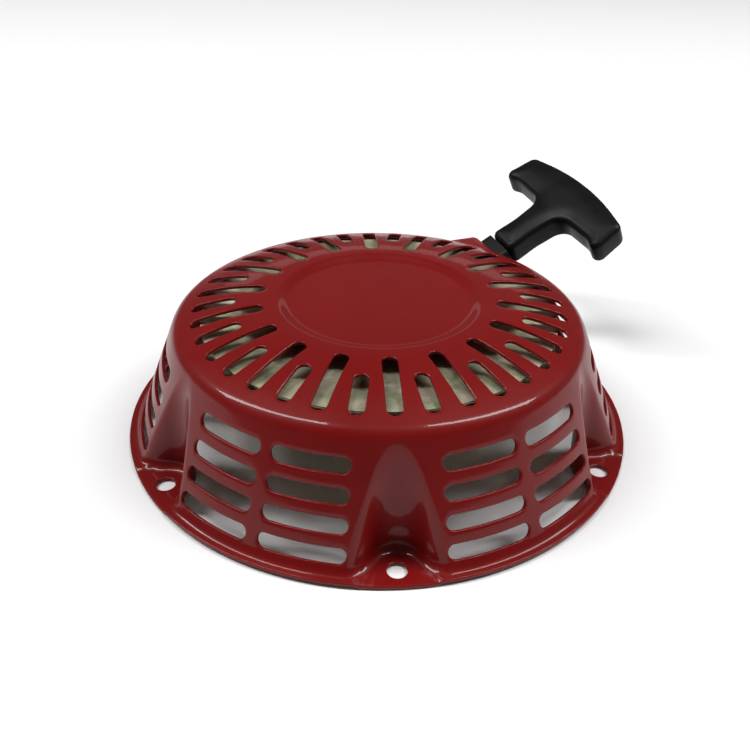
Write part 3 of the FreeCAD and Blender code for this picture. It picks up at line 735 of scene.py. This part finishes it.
def top_panel(shell):
    """One sector with a long and a short slot, repeated round the crown."""
    low, high = -SLOT_PITCH_DEG / 4, SLOT_PITCH_DEG * 3 / 4
    rings = [8.0, 16.0, 24.0, 32.0, 38.0]
    rings += list(np.linspace(DISH_FLOOR_R - 0.6, DISH_RIM_R + 0.6, 15))
    rings += list(np.linspace(50.0, CROWN_END_R, 28))
    side = [0.0, *rings]
    right = [polar(np.array([r]), high)[0] for r in side[1:-1]]
    left = [polar(np.array([r]), low)[0] for r in side[1:-1]]
    arc = polar(np.full(41, CROWN_END_R), np.linspace(low, high, 41))
    border = np.array([(0.0, 0.0), *left, *arc, *reversed(right)])
    holes = []
    for azimuth, inner in zip((0.0, SLOT_PITCH_DEG / 2), SLOT_INNER_R):
        ends = polar(np.array([inner + SLOT_HALF_WIDTH, SLOT_OUTER_R - SLOT_HALF_WIDTH]), azimuth)
        holes.append(capsule_loop(ends[0], ends[1], SLOT_HALF_WIDTH + LIP, 0.8))
    fill = []
    for r in rings[:-1]:
        count = max(2, round(math.radians(SLOT_PITCH_DEG) * r / (1.0 if r > 40 else 3.0)))
        fill.append(polar(np.full(count - 1, r), np.linspace(low, high, count + 1)[1:-1]))
    points, triangles = triangulated(border, holes, np.vstack(fill), 0.9)
    turns = [SLOT_PITCH_DEG * i for i in range(round(360 / SLOT_PITCH_DEG))]
    shell.panel(TOP, points, triangles, turns)
    for hole in holes:
        shell.rim(TOP, hole, inward(hole), turns)


def louvre_loops(rows_z):
    loops = []
    for column in LOUVRE_COLUMNS_DEG:
        for z in rows_z:
            reach = wall_line(z) * math.sin(LOUVRE_HALF_SPAN) - LOUVRE_HALF_HEIGHT
            flat = capsule_loop((-reach, z), (reach, z), LOUVRE_HALF_HEIGHT + LIP, 0.9)
            theta = math.radians(BAY_DEG / 2 + column) + np.arcsin(flat[:, 0] / wall_line(flat[:, 1]))
            loop = np.column_stack((theta * WALL_FOOT_R, wall_place(flat[:, 1])))
            loops.append(loop[::-1])
    return loops


def wall_rows():
    rows = list(np.linspace(0, SHOULDER_END, 12))
    rows += list(np.linspace(SHOULDER_END, WALL_END, 34)[1:])
    rows += list(np.linspace(WALL_END, FOOT_END, 9)[1:])
    return np.array(rows)


def wall_panel(shell, louvres, turns, joined=()):
    """One bay, from the middle of one bolt pocket to the middle of the next."""
    columns = np.linspace(0, math.radians(BAY_DEG) * WALL_FOOT_R, COLUMNS)
    rows = wall_rows()
    border = np.array([(u, rows[0]) for u in columns[:-1]] + [(columns[-1], v) for v in rows[:-1]]
                      + [(u, rows[-1]) for u in columns[:0:-1]] + [(columns[0], v) for v in rows[:0:-1]])
    fill = np.array([(u, v) for u in columns[1:-1] for v in rows[1:-1]])
    points, triangles = triangulated(border, [*louvres, *joined], fill, 0.9)
    shell.panel(WALL, points, triangles, turns)
    for louvre in louvres:
        shell.rim(WALL, louvre, inward(louvre), turns)


def flange_panel(shell):
    """One sector round a bolt hole, from the wall's foot to the rim."""
    half = BAY_DEG / 2
    azimuth = np.linspace(-half, half, COLUMNS)
    foot, _ = foot_radius(np.radians(azimuth))
    outer = polar(np.full(COLUMNS, FLANGE_R - LIP), azimuth)
    border = np.vstack([outer, polar(foot, azimuth)[::-1]])
    turn = np.linspace(0, 2 * math.pi, 41)[:-1]
    ring = (BOLT_HOLE_R + LIP) * np.column_stack((np.cos(turn), np.sin(turn)))
    hole = ring + (0, -BOLT_CIRCLE_R)
    rows = np.arange(POCKET_BACK_R, FLANGE_R, 0.9)
    fill = np.vstack([polar(np.full(COLUMNS, r), azimuth) for r in rows])
    points, triangles = triangulated(border, [hole], fill, 0.7)
    turns = [BAY_DEG * i for i in range(BOLTS)]
    shell.panel(FLANGE, points, triangles, turns)
    shell.rim(FLANGE, hole, inward(hole), turns)
    outwards = outer / np.linalg.norm(outer, axis=1)[:, None]
    shell.rim(FLANGE, outer, outwards, turns, closed=False)


def make_housing():
    shell = Shell(SHEET)
    top_panel(shell)
    bays = [BAY_DEG * i for i in range(BOLTS) if i != EXIT_BAY]
    wall_panel(shell, louvre_loops(LOUVRE_ROWS_Z), bays)
    wall_panel(shell, louvre_loops(LOUVRE_ROWS_Z[:-1]), [BAY_DEG * EXIT_BAY], [bulge_panels(shell)])
    flange_panel(shell)
    return shell.made("housing_shell")


# --- bulge over the rope's exit ---------------------------------------------------------------------
EXIT_DEG = 107.3
EXIT_FACE = 86.0
BULGE_INNER = 33.0
BULGE_OUTER = 68.0
BULGE_FLOOR_Z = 37.0
BULGE_ROOF_Z = 54.6
BULGE_EDGE = 4.0
BULGE_FOOT = 1.0
BULGE_BLEND = 1.5
BULGE_GRID = 0.8
EXIT_BAY = 2
GUIDE_HOLE_R = 4.9
GUIDE_HOLE_Z = 46.4
ROPE_ACROSS = 54.1
EXIT_ALONG = np.array((math.sin(math.radians(EXIT_DEG)), -math.cos(math.radians(EXIT_DEG)), 0.0))
EXIT_ACROSS = np.array((-EXIT_ALONG[1], EXIT_ALONG[0], 0.0))


def drum_radius(z):
    """Radius of the shoulder and the plain wall at a height."""
    v = np.linspace(0, SHOULDER_END, 200)
    r, height = shoulder_profile(v)
    return np.where(z < WALL_TOP_Z, wall_line(z), np.interp(-z, -height, r))


def drum_reach(q):
    """How far out along the rope's way the drum's skin lies, for (across, height) points."""
    return np.sqrt(np.clip(drum_radius(q[:, 1]) ** 2 - q[:, 0] ** 2, 0, None))


def rounded_loop(corners, radii, step):
    """Anticlockwise loop through corners, each rounded either way, with evenly spaced points."""
    points = []
    for i, (corner, radius) in enumerate(zip(corners, np.broadcast_to(radii, len(corners)))):
        corner = np.array(corner, float)
        back = np.array(corners[i - 1], float) - corner
        ahead = np.array(corners[(i + 1) % len(corners)], float) - corner
        back, ahead = back / np.linalg.norm(back), ahead / np.linalg.norm(ahead)
        half = math.acos(np.clip(back @ ahead, -1, 1)) / 2
        centre = corner + (back + ahead) / np.linalg.norm(back + ahead) * radius / math.sin(half)
        start = corner + back * radius / math.tan(half) - centre
        bend = back[0] * ahead[1] - back[1] * ahead[0]
        turn, first = math.copysign(math.pi - 2 * half, -bend), math.atan2(start[1], start[0])
        count = max(3, round(radius * abs(turn) / step))
        arc = [first + turn * k / count for k in range(count + 1)]
        arc = [centre + radius * np.array((math.cos(t), math.sin(t))) for t in arc]
        if points:
            gap = np.linalg.norm(arc[0] - points[-1])
            steps = max(1, round(gap / step))
            points += [points[-1] + (arc[0] - points[-1]) * k / steps for k in range(1, steps)]
        points += arc
    steps = max(1, round(np.linalg.norm(points[0] - points[-1]) / step))
    last = points[-1]
    points += [last + (points[0] - last) * k / steps for k in range(1, steps)]
    return np.array(points)


def bulge_outline():
    """Where the bulge stands on the drum, seen along the rope's way, as (across, height)."""
    low = math.sqrt(drum_radius(np.array([BULGE_FLOOR_Z]))[0] ** 2 - EXIT_FACE ** 2)
    high = math.sqrt(drum_radius(np.array([BULGE_ROOF_Z]))[0] ** 2 - EXIT_FACE ** 2)
    corners = [(BULGE_OUTER, BULGE_FLOOR_Z), (BULGE_OUTER, BULGE_ROOF_Z), (high, BULGE_ROOF_Z),
               (low, BULGE_FLOOR_Z)]
    return rounded_loop(corners, BULGE_EDGE, 0.7)


def bulge_place(q, reach):
    """Row-frame points from (across, height) and the distance along the rope's way."""
    return q[:, :1] * EXIT_ACROSS + reach[:, None] * EXIT_ALONG + q[:, 1:] * (0, 0, 1)


def smooth_max(a, b, blend):
    return -smooth_min(-a, -b, blend)


def bulge_surface(outline):
    """Face of the bulge over the plane across the rope's way, rounded into its own sides."""
    def surface(q):
        deep = np.clip(distance_to(outline, q) * np.where(inside(outline, q), 1, 0), 0, BULGE_EDGE)
        rounding = np.sqrt(np.clip(BULGE_EDGE ** 2 - (BULGE_EDGE - deep) ** 2, 0, None))
        height = EXIT_FACE - BULGE_EDGE + rounding
        return bulge_place(q, smooth_max(height, drum_reach(q), BULGE_BLEND))
    return surface


def drum_panel_place(q):
    """Wall panel coordinates, in the exit's bay, of points on the drum seen along the rope's way."""
    azimuth = EXIT_DEG + np.degrees(np.arctan2(q[:, 0], drum_reach(q))) - EXIT_BAY * BAY_DEG
    v = np.linspace(0, SHOULDER_END, 200)
    height = shoulder_profile(v)[1]
    down = np.where(q[:, 1] < WALL_TOP_Z, wall_place(q[:, 1]), np.interp(-q[:, 1], -height, v))
    return np.column_stack((np.radians(azimuth) * WALL_FOOT_R, down))


def unit(v):
    return v / np.linalg.norm(v, axis=1)[:, None]


def bulge_panels(shell):
    """Adds the bulge's foot, sides and face, and returns the hole that it needs in the wall panel."""
    outline = bulge_outline()
    side = -inward(outline)
    drum = drum_reach(outline)
    top = smooth_max(np.full_like(drum, EXIT_FACE - BULGE_EDGE), drum, BULGE_BLEND)
    foot = np.minimum(BULGE_FOOT, 0.8 * (top - drum))[:, None]
    hole = drum_panel_place(outline + side * foot)
    drum_way = turned(wall_normals(hole), EXIT_BAY * BAY_DEG)
    standing = np.clip((top - drum) / BULGE_BLEND, 0, 1)[:, None]
    side_way = side[:, :1] * EXIT_ACROSS + side[:, 1:] * (0, 0, 1)
    edge_way = unit(drum_way * (1 - standing) + side_way * standing)
    rows, ways = [], []
    for phase in np.linspace(0, math.pi / 2, 5):
        q = outline + side * foot * (1 - math.sin(phase))
        rows.append(bulge_place(q, drum_reach(q) + foot[:, 0] * (1 - math.cos(phase))))
        ways.append(unit(drum_way * (1 - math.sin(phase)) + edge_way * math.sin(phase)))
    for share in np.linspace(0, 1, 7)[1:]:
        rows.append(bulge_place(outline, (drum + foot[:, 0]) * (1 - share) + top * share))
        ways.append(edge_way)
    shell.strip(rows, ways)

    surface = bulge_surface(outline)

    def normals(q):
        n = skin_normals(surface, q)
        gap = np.linalg.norm(q[:, None] - outline[None], axis=2)
        on_edge = gap.min(axis=1) < 1e-3
        n[on_edge] = edge_way[gap.argmin(axis=1)[on_edge]]
        return n

    skin = (surface, normals)
    turn = np.linspace(0, 2 * math.pi, 37)[:-1]
    ring = (GUIDE_HOLE_R + LIP) * np.column_stack((np.cos(turn), np.sin(turn))) + (ROPE_ACROSS, GUIDE_HOLE_Z)
    across, height = np.meshgrid(np.arange(BULGE_INNER, BULGE_OUTER, BULGE_GRID),
                                 np.arange(BULGE_FLOOR_Z, BULGE_ROOF_Z, BULGE_GRID))
    fill = np.column_stack((across.ravel(), height.ravel()))
    points, triangles = triangulated(outline, [ring], fill, 0.6)
    shell.panel(skin, points, triangles)
    shell.rim(skin, ring, inward(ring))
    return hole


# --- T handle ---------------------------------------------------------------------------------------
HANDLE_ALONG = 94.9
HANDLE_Z = 49.8
HANDLE_RISE = math.radians(29.0)
HANDLE_ROLL = math.radians(-10.5)
HANDLE_HALF_THICKNESS = 7.7
HANDLE_EDGE = 3.7
HANDLE_CROWN = 0.7
HANDLE_CROWN_WIDTH = 7.0
HANDLE_TOP_U = 55.8
HANDLE_HALF = ((9.4, 0.4, 3.8), (8.6, 16.0, 30.0), (10.4, 33.8, 8.0), (33.0, 34.2, 12.0),
               (43.9, 29.8, 4.0), (40.6, 51.4, 5.0))
HANDLE_APEX = (0.0, 60.2, 140.0)
KNOT_CHAMBER_R = 5.6
KNOT_SEAT_U = HANDLE_TOP_U - 15.0
HANDLE_BORE_R = 2.9

UPWARD = np.array((0.0, 0.0, 1.0))
PULL = EXIT_ALONG * math.cos(HANDLE_RISE) + UPWARD * math.sin(HANDLE_RISE)
HANDLE_NORMAL = np.cross(-EXIT_ACROSS, PULL)
HANDLE_WIDTH_WAY = -EXIT_ACROSS * math.cos(HANDLE_ROLL) + HANDLE_NORMAL * math.sin(HANDLE_ROLL)
HANDLE_FACE_WAY = HANDLE_NORMAL * math.cos(HANDLE_ROLL) + EXIT_ACROSS * math.sin(HANDLE_ROLL)
HANDLE_BASE = EXIT_ALONG * HANDLE_ALONG + EXIT_ACROSS * ROPE_ACROSS + UPWARD * HANDLE_Z


def on_handle(flat, height):
    """Row-frame points from (width, reach) on the handle and the height off its middle plane."""
    height = np.broadcast_to(height, len(flat))
    return (HANDLE_BASE + flat[:, :1] * HANDLE_WIDTH_WAY + flat[:, 1:] * PULL
            + height[:, None] * HANDLE_FACE_WAY)


def rod(radius, start, end, sides=40):
    """Closed cylinder between two row-frame points, as (points, faces)."""
    way = (end - start) / np.linalg.norm(end - start)
    side = np.cross(way, UPWARD)
    side /= np.linalg.norm(side)
    up = np.cross(side, way)
    turn = np.arange(sides) * 2 * math.pi / sides
    ring = radius * (np.cos(turn)[:, None] * side + np.sin(turn)[:, None] * up)
    faces = [(i, (i + 1) % sides, sides + (i + 1) % sides, sides + i) for i in range(sides)]
    faces += [tuple(range(sides - 1, -1, -1)), tuple(range(sides, 2 * sides))]
    return np.vstack((start + ring, end + ring)), faces


def mesh_of(name, points, faces):
    mesh = bpy.data.meshes.new(name)
    mesh.from_pydata((points * MM).tolist(), [], [tuple(int(i) for i in f) for f in faces])
    welded(mesh, PIECE_WELD)
    return placed(name, mesh)


def hollowed(thing, *rods):
    """Cuts rods out of a piece."""
    for points, faces in rods:
        cutter = mesh_of("cutter", points, faces)
        cut = thing.modifiers.new("hole", "BOOLEAN")
        cut.object = cutter
        cut.solver = "EXACT"
        bpy.context.view_layer.update()
        seen = thing.evaluated_get(bpy.context.evaluated_depsgraph_get())
        mesh = bpy.data.meshes.new_from_object(seen)
        thing.modifiers.clear()
        thing.data = mesh
        bpy.data.objects.remove(cutter)
    thing.data.set_sharp_from_angle(angle=math.radians(50))


def make_handle():
    """T grip with pillowed faces, and the chamber and bore that the rope's knot sits in."""
    half = list(HANDLE_HALF)
    corners = half + [HANDLE_APEX] + [(-w, u, r) for w, u, r in reversed(half)]
    outline = rounded_loop([c[:2] for c in corners], [c[2] for c in corners], 1.0)
    into = inward(outline)
    side = HANDLE_HALF_THICKNESS - HANDLE_EDGE
    edge_top = HANDLE_HALF_THICKNESS - HANDLE_CROWN
    rows = []
    for phase in np.linspace(0, math.pi / 2, 7):
        flat = outline + into * HANDLE_EDGE * (1 - math.cos(phase))
        rows.append((flat, side + (edge_top - side) * math.sin(phase)))
    inner = rows[-1][0]
    count = len(outline)
    low, high = inner.min(0), inner.max(0)
    across, along = np.meshgrid(np.arange(low[0], high[0], 1.6), np.arange(low[1], high[1], 1.6))
    loose = np.column_stack((across.ravel(), along.ravel()))
    points, triangles = triangulated(inner, [], loose, 1.2)
    near = np.clip(distance_to(inner, points) / HANDLE_CROWN_WIDTH, 0, 1)
    swell = edge_top + HANDLE_CROWN * (1 - (1 - near) ** 2)
    levels = [on_handle(flat, -height) for flat, height in reversed(rows)]
    levels += [on_handle(flat, height) for flat, height in rows]
    faces = band_faces(len(levels), count)
    start = len(levels) * count
    faces += [tuple(t + start) for t in triangles]
    faces += [tuple(t[::-1] + start + len(points)) for t in triangles]
    body = np.vstack(levels + [on_handle(points, swell), on_handle(points, -swell)])
    grip = mesh_of("grip", body, faces)
    reach = np.array(((0.0, -3.0), (0.0, KNOT_SEAT_U + 1.0), (0.0, KNOT_SEAT_U), (0.0, HANDLE_TOP_U + 6.0)))
    place = on_handle(reach, 0.0)
    hollowed(grip, rod(HANDLE_BORE_R, place[0], place[1]), rod(KNOT_CHAMBER_R, place[2], place[3]))
    return grip




# --- rope -------------------------------------------------------------------------------------------
ROPE_R = 2.5
ROPE_COLUMNS_Z = (47.2, 52.1)
ROPE_LEVEL_Z = ROPE_COLUMNS_Z[0]
ROPE_LAYER_R = (54.1, 49.3, 44.5)
ROPE_START = 1.0
ROPE_BEND_R = 14.0
ROPE_BEND_POINTS = 12
ROPE_END_U = KNOT_SEAT_U + 1.4
TURN_STEPS = 120
CROSSING_START = 0.86
BRAID_DEPTH = 0.16
BRAID_STRANDS = 8
BRAID_PITCH = 17.0
ROPE_SIDES = 32


def braided(name, path, step):
    """Rope along a fine path: round, with the ridges of two sets of crossing strands."""
    path = np.array(path)
    gaps = np.linalg.norm(np.diff(path, axis=0), axis=1)
    length = np.concatenate(((0.0,), np.cumsum(gaps)))
    even = np.linspace(0, length[-1], max(2, round(length[-1] / step)) + 1)
    path = np.column_stack([np.interp(even, length, path[:, i]) for i in range(3)])
    way = unit(np.gradient(path, axis=0))
    side = unit(np.cross(way, UPWARD))
    up = np.cross(side, way)
    turn = np.arange(ROPE_SIDES) * 2 * math.pi / ROPE_SIDES
    lay = even[:, None] * 2 * math.pi / BRAID_PITCH
    ridge = np.maximum(np.cos(BRAID_STRANDS * (turn + lay)), np.cos(BRAID_STRANDS * (turn - lay)))
    radius = ROPE_R - BRAID_DEPTH * (1 - ridge) / 2
    ring = np.cos(turn)[None, :, None] * side[:, None] + np.sin(turn)[None, :, None] * up[:, None]
    points = (path[:, None] + radius[..., None] * ring).reshape(-1, 3)
    rows, n = len(path), ROPE_SIDES
    faces = band_faces(rows, n)
    faces += [tuple(range(n - 1, -1, -1)), tuple(range((rows - 1) * n, rows * n))]
    return mesh_of(name, points, faces)


def rope_path():
    """Level from the reel's outer turn, then round a bend and up the handle's stem."""
    drop = (HANDLE_Z - ROPE_LEVEL_Z) / math.tan(HANDLE_RISE)
    bend = EXIT_ALONG * (HANDLE_ALONG - drop) + EXIT_ACROSS * ROPE_ACROSS + UPWARD * ROPE_LEVEL_Z
    start = EXIT_ALONG * ROPE_START + EXIT_ACROSS * ROPE_ACROSS + UPWARD * ROPE_LEVEL_Z
    reach = ROPE_BEND_R * math.tan(HANDLE_RISE / 2)
    centre = bend - EXIT_ALONG * reach + UPWARD * ROPE_BEND_R
    arc = [centre + ROPE_BEND_R * (EXIT_ALONG * math.sin(t) - UPWARD * math.cos(t))
           for t in np.linspace(0, HANDLE_RISE, ROPE_BEND_POINTS)]
    return [start, *arc, HANDLE_BASE + PULL * ROPE_END_U]


def coil_path():
    """Six turns from the exit inwards, two side by side in each of three layers."""
    low, high = ROPE_COLUMNS_Z
    outer, middle, inner = ROPE_LAYER_R
    turns = [(outer, low), (outer, high), (middle, high), (middle, low), (inner, low), (inner, high)]
    path = []
    for (r, z), (next_r, next_z) in zip(turns, turns[1:] + turns[-1:]):
        for share in np.linspace(0, 1, TURN_STEPS + 1)[:-1]:
            crossing = smooth_step((share - CROSSING_START) / (1 - CROSSING_START))
            angle = math.radians(EXIT_DEG + 90) + 2 * math.pi * share
            radius = r + (next_r - r) * crossing
            path.append((radius * math.sin(angle), -radius * math.cos(angle), z + (next_z - z) * crossing))
    return path


# --- pieces -----------------------------------------------------------------------------------------
SLOTS = {p["node"]: p["material_slot"] for p in frame["record"]["subparts"]}
SHARP_NODES = ("hub_plate", "hub_post", "guide_collar", "centre_washer", "centre_screw", "reel_upper",
               "reel_lower", "reel_boss", "pawl_a", "pawl_b", "cam_plate", "handle_cap")
EDGE_ROUND = 0.25 * MM
CAD_WELD = 0.002 * MM
SHARP_TURN = math.radians(32)


def fitted(thing, body, slot, *replaced):
    """Puts a finished piece on its body, in place of the CAD nodes that it stands for."""
    thing.data.materials.clear()
    thing.data.materials.append(LOOKS[slot])
    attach(thing, body)
    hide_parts(*replaced)


def softened(thing):
    """Rounds a CAD node's sharp edges and keeps the broad faces beside them flat-looking."""
    thing.modifiers.new("weld", "WELD").merge_threshold = CAD_WELD
    bevel = thing.modifiers.new("edges", "BEVEL")
    bevel.width = EDGE_ROUND
    bevel.segments = 2
    bevel.limit_method = "ANGLE"
    bevel.angle_limit = SHARP_TURN
    bevel.harden_normals = True
    thing.modifiers.new("normals", "WEIGHTED_NORMAL").keep_sharp = False


make_camera()
make_studio()

fitted(make_housing(), "housing_body", "housing_paint", "housing")
fitted(make_handle(), "handle_body", "grip_rubber", "handle_grip")
fitted(braided("rope_on_reel", coil_path(), 0.9), "reel_body", "rope_nylon", "rope_coil")

rope_points = rope_path()
rope = braided("rope_to_handle", rope_points, 0.5)
rope.data.materials.append(LOOKS["rope_nylon"])
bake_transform(rope)
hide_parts("rope_run")

for name, node in nodes.items():
    node.data.materials.clear()
    node.data.materials.append(LOOKS[SLOTS[name]])
    if name in SHARP_NODES:
        softened(node)
